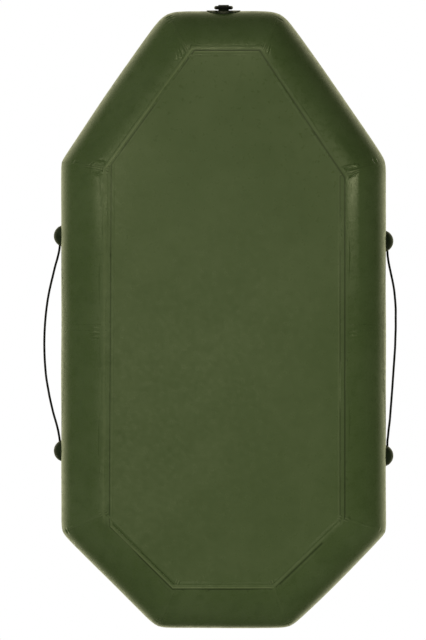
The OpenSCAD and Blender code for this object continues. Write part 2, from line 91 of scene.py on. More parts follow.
# Corners of the outline and, on the sides, the bulkheads between the two chambers.
# Clockwise from above, so that section i runs from point i to point i + 1.
OUTLINE = np.array([
    (BOW_X, BOW_Y), (SIDE_X, SHOULDER_Y), (SIDE_X, BULKHEAD_Y), (SIDE_X, QUARTER_Y),
    (STERN_X, STERN_Y), (-STERN_X, STERN_Y), (-SIDE_X, QUARTER_Y), (-SIDE_X, BULKHEAD_Y),
    (-SIDE_X, SHOULDER_Y), (-BOW_X, BOW_Y),
])
POINTS = len(OUTLINE)
(STARBOARD_BOW, STARBOARD_SHOULDER, STARBOARD_BULKHEAD, STARBOARD_QUARTER, STARBOARD_STERN,
 PORT_STERN, PORT_QUARTER, PORT_BULKHEAD, PORT_SHOULDER, PORT_BOW) = range(POINTS)
BULKHEADS = (STARBOARD_BULKHEAD, PORT_BULKHEAD)
CORNERS = [k for k in range(POINTS) if k not in BULKHEADS]

# The floor's seam isn't quite parallel to the outline. For each edge, by its first corner: how far
# in it lies at the edge's two ends, compared with an even inset.
LEAN = {STARBOARD_BOW: (1.02, 0.92), STARBOARD_SHOULDER: (1.02, 0.98), STARBOARD_STERN: (1, 1),
        STARBOARD_QUARTER: (1.0, 1.02), PORT_STERN: (1.0, 0.93), PORT_QUARTER: (1, 1),
        PORT_SHOULDER: (1.0, 0.94), PORT_BOW: (1, 1)}
EDGES = [(OUTLINE[k], OUTLINE[after], LEAN[k])
         for k, after in zip(CORNERS, CORNERS[1:] + CORNERS[:1])]


def meeting(a, b, c, d):
    """Where the line through a and b meets the line through c and d."""
    run, other = b - a, d - c
    along = ((c - a)[0] * other[1] - (c - a)[1] * other[0]) / (run[0] * other[1] - run[1] * other[0])
    return a + along * run


def inset_points(inset):
    """The outline's points after every edge has moved inwards, by one inset or by its own."""
    insets = np.broadcast_to(inset, len(EDGES))
    moved = []
    for (a, b, (start, end)), into in zip(EDGES, insets):
        inwards = np.array([(b - a)[1], (a - b)[0]]) / np.linalg.norm(b - a)
        moved.append((a + start * into * inwards, b + end * into * inwards))
    corners = [meeting(*moved[i - 1], *moved[i]) for i in range(len(moved))]
    points = np.zeros((POINTS, 2))
    points[CORNERS] = corners
    for k in BULKHEADS:
        a, b = points[k - 1], points[k + 1]
        points[k] = a + (b - a) * (OUTLINE[k][1] - a[1]) / (b - a)[1]
    return points


def depth_inside(x, y):
    """How far in from the outline a place is, measured as inset_points measures it."""
    nearest = np.full(np.shape(x), 9.0)
    for a, b, (start, end) in EDGES:
        length = np.linalg.norm(b - a)
        d = (b - a) / length
        fraction = ((x - a[0]) * d[0] + (y - a[1]) * d[1]) / length
        distance = (x - a[0]) * d[1] - (y - a[1]) * d[0]
        nearest = np.minimum(nearest, distance / (start + (end - start) * fraction))
    return nearest


# ---- Camera, light and floor ------------------------------------------------

# Metres. The camera stands far off, so the view is almost without perspective.
CAMERA_DISTANCE = 50.0
VIEW_HEIGHT = 1.971
VIEW_CENTRE = (0.0326, -0.011)
DAYLIGHT = (1.0, 0.98, 0.82, 1)
WARM = (1.0, 0.98, 0.62, 1)
# Strengths of the sky in the gloss (overhead, and everywhere) and of its soft light on the colour.
SKY_GLOSS, SKY_FLOOR, SKY_SOFT = 1.1, 0.04, 0.35
# Where that soft light fades out: towards port, forward and down.
SOFT_FADES_TO = (-0.88, 0.37, -0.29)
SHADE_GLOW = 0.05
SHADE_SPREAD = 12
FLOOR_GLOW = 0.28
FLOOR_HALF = 60


def add(name, data):
    """A new object in the scene."""
    made = bpy.data.objects.new(name, data)
    scene.collection.objects.link(made)
    return made


def aim_camera():
    """Looks straight up at the boat's underside, with the bow at the top of the picture."""
    data = bpy.data.cameras.new("camera")
    camera = add("camera", data)
    camera.location = (*VIEW_CENTRE, AXIS_Z - CAMERA_DISTANCE)
    camera.rotation_euler = (0, math.pi, 0)
    data.lens = data.sensor_width * CAMERA_DISTANCE / VIEW_HEIGHT
    data.clip_end = 100
    scene.camera = camera


def area_light(name, place, target, size, power, rays):
    """A soft light box for a surface's "diffuse" rays or its "glossy" ones."""
    data = bpy.data.lights.new(name, "AREA")
    data.shape = "RECTANGLE"
    data.size, data.size_y = size
    data.energy = power
    data.color = (WARM if rays == "glossy" else DAYLIGHT)[:3]
    light = add(name, data)
    light.location = place
    direction = np.array(target, float) - np.array(place, float)
    light.rotation_euler = Vector(direction).to_track_quat("-Z", "Y").to_euler()
    light.visible_diffuse = rays == "diffuse"
    light.visible_glossy = rays == "glossy"


def set_sheet(name, corners, faces, unseen_by):
    """A sheet of the set that some rays don't meet: returns it and its material's empty tree."""
    mesh = bpy.data.meshes.new(name)
    mesh.from_pydata(corners, [], faces)
    made = bpy.data.materials.new(name)
    made.use_nodes = True
    made.node_tree.nodes.clear()
    mesh.materials.append(made)
    sheet = add(name, mesh)
    for ray in unseen_by:
        setattr(sheet, "visible_" + ray, False)
    return sheet, made.node_tree


def lay_shade(inset):
    """A dim plane round the boat that only gloss and shadow rays meet.

    The flanks mirror it and not the lights below. It leaves the underside open, from an inset
    inwards, and it doesn't block the lights for the fabric's colour.
    """
    inner = inset_points(inset)[CORNERS]
    outer = inner * SHADE_SPREAD
    corners = [(*point, -1 * MM) for point in np.vstack([inner, outer])]
    count = len(CORNERS)
    faces = [(i, (i + 1) % count, count + (i + 1) % count, count + i) for i in range(count)]
    shade, tree = set_sheet("shade", corners, faces,
                            ("camera", "diffuse", "transmission", "volume_scatter"))
    glow = new_node(tree, "Emission", Color=DAYLIGHT, Strength=SHADE_GLOW).outputs[0]
    new_node(tree, "OutputMaterial", Surface=glow)
    clear = bpy.data.collections.new("not_shaded")
    clear.objects.link(shade)
    clear.collection_objects[0].light_linking.link_state = "EXCLUDE"
    for light in scene.objects:
        if light.type == "LIGHT" and light.visible_diffuse:
            light.light_linking.blocker_collection = clear
    scene.world.cycles.sampling_method = "NONE"


def plug(tree, socket, value):
    """Feeds a socket a number, a colour or another node's output."""
    if isinstance(value, bpy.types.NodeSocket):
        tree.links.new(value, socket)
    else:
        socket.default_value = value


def new_node(tree, kind, **sockets):
    made = tree.nodes.new("ShaderNode" + kind)
    for name, value in sockets.items():
        plug(tree, made.inputs[name.replace("_", " ")], value)
    return made


def maths(tree, operation, a, b=0.0):
    """One Math node's output, from numbers or other nodes' outputs."""
    made = tree.nodes.new("ShaderNodeMath")
    made.operation = operation
    for socket, value in zip(made.inputs, (a, b)):
        plug(tree, socket, value)
    return made.outputs[0]


def remap(tree, value, low, high, to_low=0.0, to_high=1.0):
    """A value eased from one range to another, and held at its ends."""
    made = new_node(tree, "MapRange", Value=value, From_Min=low, From_Max=high,
                    To_Min=to_low, To_Max=to_high)
    made.interpolation_type = "SMOOTHSTEP"
    return made.outputs[0]


def mix(tree, factor, a, b):
    """Colour a where the factor is 0, and b where it is 1."""
    made = tree.nodes.new("ShaderNodeMix")
    made.data_type = "RGBA"
    for index, value in ((0, factor), (6, a), (7, b)):
        plug(tree, made.inputs[index], value)
    return made.outputs[2]


def light_world():
    """White to the camera. Gloss sees a sky that is bright above, dimmer ahead and dark astern.

    The fabric's colour gets a soft light from all round, which fades out on the port side.
    """
    world = bpy.data.worlds.new("world")
    scene.world = world
    world.use_nodes = True
    tree = world.node_tree
    tree.nodes.clear()
    direction = new_node(tree, "TexCoord").outputs["Generated"]
    split = new_node(tree, "SeparateXYZ", Vector=direction)
    ahead, up = split.outputs["Y"], split.outputs["Z"]
    above = remap(tree, up, 0.2, 0.8)
    not_astern = remap(tree, ahead, -0.7, -0.35)
    not_ahead = remap(tree, ahead, 0.4, 0.75, 1.0, 0.4)
    upper = maths(tree, "MULTIPLY", above, maths(tree, "MULTIPLY", not_astern, not_ahead))
    shine = maths(tree, "ADD", maths(tree, "MULTIPLY", upper, SKY_GLOSS), SKY_FLOOR)
    path = new_node(tree, "LightPath").outputs
    seen = path["Is Camera Ray"]
    gloss = path["Is Glossy Ray"]
    towards_port = tree.nodes.new("ShaderNodeVectorMath")
    towards_port.operation = "DOT_PRODUCT"
    tree.links.new(direction, towards_port.inputs[0])
    towards_port.inputs[1].default_value = SOFT_FADES_TO
    soft = remap(tree, towards_port.outputs["Value"], 0.05, 0.85, SKY_SOFT, 0.0)
    level = maths(tree, "ADD", maths(tree, "MULTIPLY", shine, gloss),
                  maths(tree, "MULTIPLY", path["Is Diffuse Ray"], soft))
    level = maths(tree, "ADD", level, seen)
    colour = mix(tree, seen, mix(tree, gloss, DAYLIGHT, WARM), (1, 1, 1, 1))
    background = new_node(tree, "Background", Color=colour, Strength=level).outputs[0]
    new_node(tree, "OutputWorld", Surface=background)


def lay_floor():
    """A pale floor that only the camera sees, from above; from below it sees through it."""
    corners = [(x * FLOOR_HALF, y * FLOOR_HALF, -0.5 * MM)
               for x, y in ((-1, -1), (1, -1), (1, 1), (-1, 1))]
    floor, tree = set_sheet("stage_floor", corners, [(0, 1, 2, 3)],
                            ("shadow", "diffuse", "glossy", "transmission", "volume_scatter"))
    grain = new_node(tree, "TexNoise", Scale=3.0, Detail=4.0).outputs[0]
    pale = mix(tree, grain, (0.74, 0.74, 0.73, 1), (0.80, 0.80, 0.79, 1))
    paint = new_node(tree, "BsdfPrincipled", Base_Color=pale, Roughness=0.8, Emission_Color=pale,
                     Emission_Strength=FLOOR_GLOW).outputs[0]
    clear = new_node(tree, "BsdfTransparent").outputs[0]
    back = new_node(tree, "NewGeometry").outputs["Backfacing"]
    choose = tree.nodes.new("ShaderNodeMixShader")
    for socket, value in zip(choose.inputs, (back, paint, clear)):
        plug(tree, socket, value)
    new_node(tree, "OutputMaterial", Surface=choose.outputs[0])


aim_camera()
light_world()
lay_floor()
area_light("fill_below", (1.3, 0.7, -5.0), (0, 0.1, 0), (3.0, 3.0), 80, "diffuse")
area_light("astern_below", (-2.3, -1.5, -1.5), (-0.42, -0.55, 0), (1.0, 1.0), 13, "diffuse")
area_light("sheen_below", (0.16, -0.2, -2.6), (0.1, -0.1, 0), (0.9, 1.4), 3.2, "glossy")
area_light("starboard_below", (0.56, 0.46, -1.0), (0.36, 0.42, 0.0), (0.22, 0.46), 0.8, "glossy")
area_light("port_below", (-0.82, 0.47, -0.95), (-0.40, 0.43, 0.05), (0.14, 0.46), 1.7, "glossy")
area_light("bow_below", (0.0, 1.04, -1.0), (0, 0.84, 0.0), (0.40, 0.10), 0.9, "glossy")
area_light("key_above", (1.8, -1.6, 3.4), (0, 0, 0), (1.6, 1.6), 100, "diffuse")
area_light("fill_above", (-2.4, 1.2, 2.6), (0, 0, 0), (2.0, 2.0), 45, "diffuse")
lay_shade(78 * MM)
scene.view_settings.view_transform = "Standard"

# ---- Ropes ------------------------------------------------------------------

ROPE_D = 7 * MM
# In mm, from inside the fore holder to inside the aft one.
STARBOARD_ROUTE = [
    (505, 262, 181), (505, 240, 181), (505, 218, 181), (507, 202, 180), (512, 180, 177),
    (519, 155, 172), (525, 130, 166), (531, 105, 160), (537, 78, 154), (542, 50, 148),
    (546, 20, 143), (549, -10, 139), (551, -40, 136), (552, -70, 135), (552, -100, 135),
    (551, -130, 136), (549, -160, 139), (546, -190, 143), (541, -220, 148), (536, -248, 154),
    (530, -275, 160), (524, -300, 166), (517, -324, 172), (511, -347, 177), (507, -368, 180),
    (505, -384, 181), (505, -406, 181), (505, -428, 181),
]
PORT_ROUTE = [
    (-505, 246, 181), (-505, 224, 181), (-505, 202, 181), (-506, 186, 179), (-509, 165, 175),
    (-514, 140, 168), (-520, 112, 159), (-525, 84, 150), (-528, 55, 142), (-530, 25, 135),
    (-530, -5, 129), (-530, -35, 125), (-529, -65, 122), (-528, -95, 121), (-526, -125, 121),
    (-524, -155, 123), (-522, -185, 127), (-520, -215, 132), (-518, -243, 138),
    (-516, -270, 145), (-514, -297, 153), (-512, -322, 161), (-509, -347, 170),
    (-507, -368, 176), (-505, -386, 180), (-505, -400, 181), (-505, -422, 181),
    (-505, -443, 181),
]


def smooth_route(points, step):
    """The route as a smooth line with points a step apart."""
    points = np.array(points, float) * MM
    padded = np.vstack([2 * points[0] - points[1], points, 2 * points[-1] - points[-2]])
    line = []
    for a, b, c, d in zip(padded, padded[1:], padded[2:], padded[3:]):
        t = np.linspace(0, 1, 24, endpoint=False)[:, None]
        line.append(0.5 * (2 * b + (c - a) * t + (2 * a - 5 * b + 4 * c - d) * t**2
                           + (3 * b - a - 3 * c + d) * t**3))
    line = np.vstack(line + [points[-1:]])
    travel = np.concatenate([[0], np.cumsum(np.linalg.norm(np.diff(line, axis=0), axis=1))])
    at = np.linspace(0, travel[-1], int(travel[-1] / step) + 1)
    return np.stack([np.interp(at, travel, line[:, i]) for i in range(3)], 1), travel[-1]


def grid_mesh(name, grid, wrap_rows=False, wrap_columns=False, caps=False):
    """A mesh of quads over a grid of points, rows by columns."""
    rows, columns = grid.shape[:2]
    index = np.arange(rows * columns).reshape(rows, columns)
    down = np.roll(index, -1, 0) if wrap_rows else index[1:]
    here = index if wrap_rows else index[:-1]
    if wrap_columns:
        quads = (here, np.roll(here, -1, 1), np.roll(down, -1, 1), down)
    else:
        quads = (here[:, :-1], here[:, 1:], down[:, 1:], down[:, :-1])
    faces = np.stack(quads, -1).reshape(-1, 4).tolist()
    if caps:
        faces += [index[0, ::-1].tolist(), index[-1].tolist()]
    mesh = bpy.data.meshes.new(name)
    mesh.from_pydata(grid.reshape(-1, 3).tolist(), [], faces)
    mesh.shade_smooth()
    return mesh


def place(name, mesh, *materials):
    piece = add(name, mesh)
    for material in materials:
        mesh.materials.append(material)
    return piece


def round_tube(name, line, radius, up=(0, 0, 1), sides=20):
    """A tube round the line. radius is one number, or one for each point of the tube's skin."""
    tangent = np.gradient(line, axis=0)
    tangent /= np.linalg.norm(tangent, axis=1)[:, None]
    across = np.cross(tangent, up)
    across /= np.linalg.norm(across, axis=1)[:, None]
    over = np.cross(across, tangent)
    around = np.linspace(0, 2 * math.pi, sides, endpoint=False)[None, :]
    r = np.broadcast_to(radius, (len(line), sides))[..., None]
    grid = line[:, None] + r * (np.cos(around)[..., None] * across[:, None]
                                + np.sin(around)[..., None] * over[:, None])
    return grid_mesh(name, grid, wrap_columns=True, caps=True)


def braided_tube(name, line, radius, strands=4, pitch=15 * MM, sides=20):
    """A tube round the line whose skin bulges where two sets of strands cross."""
    travel = np.concatenate([[0], np.cumsum(np.linalg.norm(np.diff(line, axis=0), axis=1))])
    around = np.linspace(0, 2 * math.pi, sides, endpoint=False)[None, :]
    twist = (2 * math.pi * travel / pitch)[:, None]
    strand = np.maximum(np.cos(strands * around + twist * strands / 2) ** 2,
                        np.cos(strands * around - twist * strands / 2) ** 2)
    return round_tube(name, line, radius * (0.93 + 0.09 * strand), sides=sides)


# ---- The tubes' skin --------------------------------------------------------

# Points round the tube, and along each line of the outline.
ROUND = 288
DENSE = 2400
# How much the inside of each corner is rounded.
INNER_ROUND = 6 * MM
# Angles round the tube from its outboard side, closer together below and outboard.
THETA = np.linspace(0, 2 * math.pi, ROUND, endpoint=False)
THETA = THETA + 0.45 * np.cos(THETA + math.radians(150))
INSET = TUBE_R * (1 - np.cos(THETA))
# Distance round the tube from its lowest line, positive on the outboard side.
GIRTH = TUBE_R * ((THETA + math.pi / 2 + math.pi) % (2 * math.pi) - math.pi)
# How much the outside of each corner is rounded, in mm.
CORNER_ROUND = {STARBOARD_BOW: 38, STARBOARD_SHOULDER: 12, STARBOARD_QUARTER: 20, STARBOARD_STERN: 26,
                PORT_STERN: 24, PORT_QUARTER: 13, PORT_SHOULDER: 18, PORT_BOW: 38}
# Edges whose outside bows out under pressure, by their first corner: how far in mm, and a skew
# that moves the fullest place towards the edge's start (below 1) or its end (above 1).
BOWED = {STARBOARD_BOW: (4.8, 1.0), PORT_STERN: (5.0, 1.0), PORT_SHOULDER: (4.4, 0.75)}


class Outline:
    """The boat's outline moved inwards by inset, with its corners rounded and some edges bowed."""

    def __init__(self, inset):
        points = inset_points(inset)
        after = np.roll(points, -1, 0) - points
        lengths = np.linalg.norm(after, axis=1)
        heading = after / lengths[:, None]
        self.at_point = np.concatenate([[0], np.cumsum(lengths)])
        self.total = self.at_point[-1]
        self.travel = np.linspace(0, self.total, DENSE + 1)
        closed = np.vstack([points, points[:1]])
        self.line = np.stack([np.interp(self.travel, self.at_point, closed[:, i]) for i in (0, 1)], 1)
        outboard = max(0.0, 1 - inset / TUBE_R)
        for k in CORNERS:
            reach = INNER_ROUND + (CORNER_ROUND[k] * MM - INNER_ROUND) * outboard ** 0.7
            turn = (heading[k] - heading[k - 1]) / 2
            half = self.total / 2
            distance = abs((self.travel - self.at_point[k] + half) % self.total - half)
            self.line += turn * (reach * np.log1p(np.exp(-2 * distance / reach)))[:, None]
        for k, (amount, skew) in BOWED.items():
            fraction = np.clip((self.travel - self.at_point[k]) / lengths[k], 0, 1)
            outwards = np.array([-heading[k][1], heading[k][0]])
            bulge = outboard * amount * MM * np.sin(math.pi * fraction ** skew) ** 0.8
            self.line += outwards * bulge[:, None]

    def at(self, travel):
        travel = travel % self.total
        return np.stack([np.interp(travel, self.travel, self.line[:, i]) for i in (0, 1)], -1)


LINES = [Outline(inset) for inset in INSET]
AT_POINT = np.array([line.at_point for line in LINES])
TOTAL = np.array([line.total for line in LINES])


def from_point(k, travel):
    """Signed distance along the ring from point k, for a travel at each angle."""
    d = travel - AT_POINT[None, :, k]
    return (d + TOTAL / 2) % TOTAL - TOTAL / 2


def ridge(along, across, at, length, width, height, slant=0.0):
    """A soft ridge, or a groove if height is negative, with its middle at a place on the skin."""
    u, v = along - at[0], across - at[1]
    c, s = math.cos(math.radians(slant)), math.sin(math.radians(slant))
    return height * np.exp(-((u * c + v * s) / length) ** 2 - ((v * c - u * s) / width) ** 2)


# Puckers of the skin beside each corner's seam. Each is where it is (clockwise along the tube from
# the seam, and round the tube outboard from its lowest line), how long and how wide, how high, and
# its slant: mm and degrees. All heights are then raised by PUCKER_GAIN.
PUCKER_GAIN = 1.4
PUCKERS = {
    STARBOARD_BOW: [
        (0, 158, 11, 3.2, -1.8, 0), (-2, 143, 12, 3, -1.7, 4), (2, 129, 9, 2.6, -1.2, -4),
        (18, 24, 2.4, 11, 1.0, 14), (24, 20, 2.4, 10, -1.0, 14), (31, 26, 2.4, 11, 0.9, 20),
        (37, 22, 2.4, 10, -0.8, 20), (9, 44, 2.2, 8, -0.6, -10)],
    STARBOARD_SHOULDER: [
        (-9, 110, 5, 2.2, -1.4, 18), (-7, 102, 5, 2.2, 1.2, 18), (-8, 95, 5, 2.2, -1.2, 18),
        (-8, 50, 5, 1.9, 1.2, 20), (-9, 44, 5, 1.9, -1.2, 20), (-8, 38, 5, 1.9, 1.2, 20),
        (-20, 22, 2.6, 12, 1.1, 0), (-27, 18, 2.6, 10, -0.9, 6), (16, 26, 2.4, 13, -0.9, -4),
        (22, 14, 3, 12, 1.2, -8), (-14, 8, 3, 5, 1.0, 0), (8, 6, 3, 5, 1.0, 0)],
    STARBOARD_QUARTER: [(4, 150, 8, 5, -2.4, 0), (4, 138, 8, 3, 1.2, 0), (-14, 20, 2.4, 10, 0.5, 0)],
    STARBOARD_STERN: [(-6, 146, 10, 2.6, -1.0, 0), (2, 134, 10, 2.6, -0.9, 6), (12, 122, 8, 2.4, -0.7, 8)],
    PORT_STERN: [(0, 150, 12, 2.6, -1.1, 0), (6, 138, 10, 2.6, -0.9, -6), (0, 26, 3, 10, 0.5, 0)],
    PORT_QUARTER: [(0, 142, 6, 2.2, -0.9, 10), (2, 132, 6, 2.2, 0.7, 10), (6, 14, 3, 9, 1.6, 34),
                   (14, 16, 3, 9, -0.8, 34)],
    PORT_SHOULDER: [
        (15, 118, 7, 3.0, -2.2, 0), (13, 108, 7, 2.6, 1.4, 0), (13, 127, 6, 2.4, 1.0, 0),
        (16, 52, 4, 4, 1.8, 0), (24, 50, 4, 4, -1.0, 0), (22, 22, 2.6, 17, 1.1, 6),
        (15, 24, 2.6, 17, -1.0, 6), (-7, 26, 2.4, 15, 1.1, -8), (-13, 24, 2.4, 14, -0.9, -8),
        (-22, 4, 3, 5, 0.8, 0), (-14, 2, 3, 5, -0.8, 0)],
    PORT_BOW: [
        (-6, 146, 12, 2.6, -1.2, -4), (-14, 26, 2.4, 12, 0.9, -12), (-20, 24, 2.4, 11, -0.9, -12),
        (16, 20, 2.2, 9, -0.7, 16), (22, 22, 2.2, 9, 0.6, 16)],
}


# The line round the tube that faces the cockpit, and how the skin folds there at each corner.
COCKPIT_GIRTH = 408 * MM
FOLDS, FOLD_APART, FOLD_HEIGHT = 5, 12 * MM, 1.1 * MM
# How much weaker the folds at mid-length are to port.
PORT_FOLDS = 0.35


def corner_relief(k, along, girth):
    """A corner's puckers below, and folds round the inside of its bend."""
    relief = np.zeros_like(along)
    for u, v, length, width, height, slant in PUCKERS[k]:
        relief += ridge(along, girth, (u * MM, v * MM), length * MM, width * MM,
                        PUCKER_GAIN * height * MM, slant)
    way_round = 2 * math.pi * TUBE_R
    inside = (girth - COCKPIT_GIRTH + way_round / 2) % way_round - way_round / 2
    for n in range(FOLDS):
        relief += ridge(along, inside, ((n - 2) * FOLD_APART, 0), 2.6 * MM, 26 * MM,
                        FOLD_HEIGHT * (-1) ** n)
    return relief


def bulkhead_relief(along, girth):
    """Short folds across the tube where the wall between the chambers is welded in."""
    relief = ridge(along, girth, (0, 0), 5 * MM, 4000 * MM, -0.5 * MM)
    for n, (offset, height) in enumerate(((-2, 1.5), (-16, 2.0), (-29, 1.5))):
        place_at = (offset * MM, (30 + 5 * (n % 2)) * MM)
        relief += ridge(along, girth, place_at, 2.4 * MM, 17 * MM, height * MM)
        relief += ridge(along, girth, (place_at[0] - 4.8 * MM, place_at[1]), 2.4 * MM, 15 * MM,
                        -height * MM)
    return relief


def skin_relief(travel):
    """How far the skin stands proud of its round tube at each travel and angle."""
    girth = np.broadcast_to(GIRTH, travel.shape)
    relief = np.zeros_like(travel)
    for k in range(POINTS):
        along = from_point(k, travel)
        if k in BULKHEADS:
            towards_bow = -along if k == STARBOARD_BULKHEAD else along
            strength = 1 if k == STARBOARD_BULKHEAD else PORT_FOLDS
            relief += bulkhead_relief(towards_bow, girth) * strength
        else:
            relief += corner_relief(k, along, girth)
    # The skin turns in sharply where the floor is welded to it.
    relief -= 2.6 * MM * np.exp(-((girth + 1 * MM) / (3.2 * MM)) ** 2)
    phase = travel / TOTAL * 2 * math.pi
    relief += 0.25 * MM * (np.sin(9 * phase + 3 * np.sin(2 * THETA))
                           + np.sin(17 * phase - 2 * THETA + 1))
    return relief


def skin_grid(travel, lift=0.0):
    """Points of the hull's skin for a travel along the ring at each angle, lifted off it."""
    flat = np.zeros((*travel.shape, 3))
    for j, line in enumerate(LINES):
        flat[:, j, :2] = line.at(travel[:, j])
        flat[:, j, 2] = AXIS_Z + TUBE_R * math.sin(THETA[j])
    along = np.zeros_like(flat)
    for j, line in enumerate(LINES):
        step = 1 * MM
        along[:, j, :2] = line.at(travel[:, j] + step) - line.at(travel[:, j] - step)
    around = np.roll(flat, -1, 1) - np.roll(flat, 1, 1)
    normal = np.cross(around, along)
    normal /= np.linalg.norm(normal, axis=2)[..., None]
    return flat + normal * (skin_relief(travel) + lift)[..., None]


def patch(name, side, around, reach, thick):
    """A round fabric patch glued on top of a side tube: its rim is feathered and slightly wavy."""
    rings = np.array([0.0, 0.3, 0.6, 0.8, 0.9, 0.95, 0.985, 1.0]) * reach
    high = np.array([1.0, 1.0, 1.0, 1.0, 1.0, 0.9, 0.6, 0.05]) * thick
    a = np.linspace(0, 2 * math.pi, 96, endpoint=False)
    tube_x = SIDE_X - TUBE_R
    ring_r = rings[:, None] * (1 + 0.004 * np.sin(5 * a) + 0.003 * np.sin(11 * a + 1))
    along = around + ring_r * np.sin(a)
    angle = side * ring_r * np.cos(a) / TUBE_R
    top = TUBE_R + high[:, None]
    grid = np.dstack([side * tube_x + top * np.sin(angle), along, AXIS_Z + top * np.cos(angle)])
    under = TUBE_R - 1.5 * MM
    base = np.dstack([side * tube_x + under * np.sin(angle), along, AXIS_Z + under * np.cos(angle)])
    mesh = grid_mesh(name, np.vstack([grid, base[::-1]]), wrap_columns=True)
    if side < 0:
        mesh.flip_normals()
    return place(name, mesh, paler_tape_soft_highlight)


# Each valve stands on the inner upper side of its end tube, leaning inboard.
VALVE_LEAN = math.radians(40)
# The spring's lowest and highest points along that lean, from the tube's skin.
SPRING = (-22 * MM, -9.6 * MM)
COIL_R, WIRE_R, TURNS = 6 * MM, 0.5 * MM, 5
# The skin inside a valve's barrel: its radius, its reach each way, and how far it is moved in.
POCKET_R, POCKET_REACH, POCKET_DEPTH = 17.5 * MM, 30 * MM, 45 * MM


def valve_axis(v):
    """The place on the tube's skin where a valve stands, and the direction that it points in."""
    inboard = -1 if v == "bow" else 1
    middle = BOW_Y - TUBE_R if v == "bow" else STERN_Y + TUBE_R
    out = np.array([0, inboard * math.sin(VALVE_LEAN), math.cos(VALVE_LEAN)])
    return np.array([0, middle, AXIS_Z]) + TUBE_R * out, out


def valve_pocket(grid):
    """Sinks the skin into the tube where the valves' barrels pass through it."""
    for v in ("bow", "stern"):
        foot, out = valve_axis(v)
        offset = grid - foot
        height = offset @ out
        radius = np.linalg.norm(offset - height[..., None] * out, axis=-1)
        inside = (radius < POCKET_R) & (abs(height) < POCKET_REACH)
        grid[inside] -= POCKET_DEPTH * out
    return grid


def spacing(length, near, fine, coarse):
    """Fractions along a section: fine steps within near of its ends, and coarse ones between."""
    ends = np.arange(0, near, fine)
    middle = np.linspace(near, length - near, max(2, int((length - 2 * near) / coarse)))
    return np.unique(np.concatenate([ends, middle, length - ends])) / length


def chamber_travel(first, last):
    """Travels at each angle from bulkhead first to bulkhead last, clockwise."""
    rows = []
    k = first
    while k != last:
        lengths = (AT_POINT[:, k + 1] - AT_POINT[:, k])
        fractions = spacing(lengths[0], 50 * MM, 2.2 * MM, 11 * MM)
        if k in (PORT_BOW, STARBOARD_STERN):
            barrel = 0.5 + np.arange(-24, 24.1, 2) * MM / lengths[0]
            clear = abs(fractions - 0.5) > 25 * MM / lengths[0]
            fractions = np.sort(np.concatenate([fractions[clear], barrel]))
        if rows:
            fractions = fractions[1:]
        rows.append(AT_POINT[:, k] + fractions[:, None] * lengths)
        k = (k + 1) % POINTS
    return np.vstack(rows)


def chamber_skin(name, first, last, *materials):
    """The skin of one air chamber, closed at both ends, from one bulkhead to the other."""
    grid = valve_pocket(skin_grid(chamber_travel(first, last)))
    mesh = grid_mesh(name, grid, wrap_columns=True, caps=True)
    return place(name, mesh, *materials)


# ---- Floor ------------------------------------------------------------------

FLOOR_INSET = 129 * MM
FLOOR_T = 1 * MM
FLOOR_RISE = 2.4 * MM


def floor_sides(y, inset):
    """Where the floor's port and starboard edges are at y."""
    points = inset_points(inset)
    starboard, port = points[:STARBOARD_STERN + 1], points[PORT_STERN:]
    return np.interp(y, port[:, 1], port[:, 0]), np.interp(-y, -starboard[:, 1], starboard[:, 0])


def floor_surface(x, y, inset=FLOOR_INSET):
    """Height of the floor's underside: its rim turns up into the seam, and it billows a little."""
    edge = np.maximum(depth_inside(x, y) - inset, 0)
    rim = 3.4 * MM * np.exp(-(edge / (3 * MM)) ** 2)
    inside = 1 - np.exp(-(edge / (90 * MM)) ** 2)
    billow = 1.3 * np.sin(5.1 * x + 1.7 * y + 0.4) * np.sin(3.9 * y - 2.2 * x + 1.2)
    billow += 0.5 * np.sin(11 * x - 6 * y) * np.sin(8.3 * y + 0.6)
    return FLOOR_RISE + rim + inside * billow * MM


def floor_piece(*materials):
    """The floor sheet, with a finer grid near its seam."""
    points = inset_points(FLOOR_INSET)
    near = np.array([0, 1.5, 3, 4.5, 6.5, 9, 13, 19, 27, 38]) * MM
    stops = [points[STARBOARD_STERN][1], points[STARBOARD_QUARTER][1], points[STARBOARD_SHOULDER][1],
             points[STARBOARD_BOW][1]]
    rows = np.unique(np.concatenate(
        [stops[0] + near, stops[-1] - near]
        + [np.linspace(a, b, max(2, int((b - a) / (9 * MM)))) for a, b in
           ((stops[0] + near[-1], stops[1]), (stops[1], stops[2]), (stops[2], stops[-1] - near[-1]))]
    ).round(6))
    grid = []
    for y in rows:
        port, starboard = floor_sides(y, FLOOR_INSET)
        across = np.linspace(port + near[-1], starboard - near[-1], 90)
        xs = np.concatenate([port + near[:-1], across, (starboard - near[:-1])[::-1]])
        grid.append([(x, y) for x in xs])
    grid = np.array(grid)
    under = floor_surface(grid[..., 0], grid[..., 1])
    bottom = np.dstack([grid, under])
    top = np.dstack([grid, under + FLOOR_T])
    return place("floor", closed_sheet("floor", bottom, top), *materials)


def closed_sheet(name, bottom, top):
    """A closed mesh between two grids of points that lie one over the other."""
    rows, columns = bottom.shape[:2]
    index = np.arange(rows * columns).reshape(rows, columns)
    count = rows * columns

    def quads(a):
        return np.stack([a[:-1, :-1], a[:-1, 1:], a[1:, 1:], a[1:, :-1]], -1).reshape(-1, 4)

    rim = np.concatenate([index[0, :-1], index[:-1, -1], index[-1, :0:-1], index[:0:-1, 0]])
    after = np.roll(rim, -1)
    wall = np.stack([rim, after, after + count, rim + count], -1)
    faces = np.vstack([quads(index)[:, ::-1], quads(index) + count, wall])
    mesh = bpy.data.meshes.new(name)
    points = np.vstack([bottom.reshape(-1, 3), top.reshape(-1, 3)])
    mesh.from_pydata(points.tolist(), [], faces.tolist())
    mesh.shade_smooth()
    mesh.validate()
    return mesh


# ---- Tapes ------------------------------------------------------------------

# Tones of the seam tapes: their own colour, a painted highlight, a soft painted highlight and painted
# shade.
NORMAL, PAINTED_HIGHLIGHT, SOFT_PAINTED_HIGHLIGHT, PAINTED_SHADE = range(4)
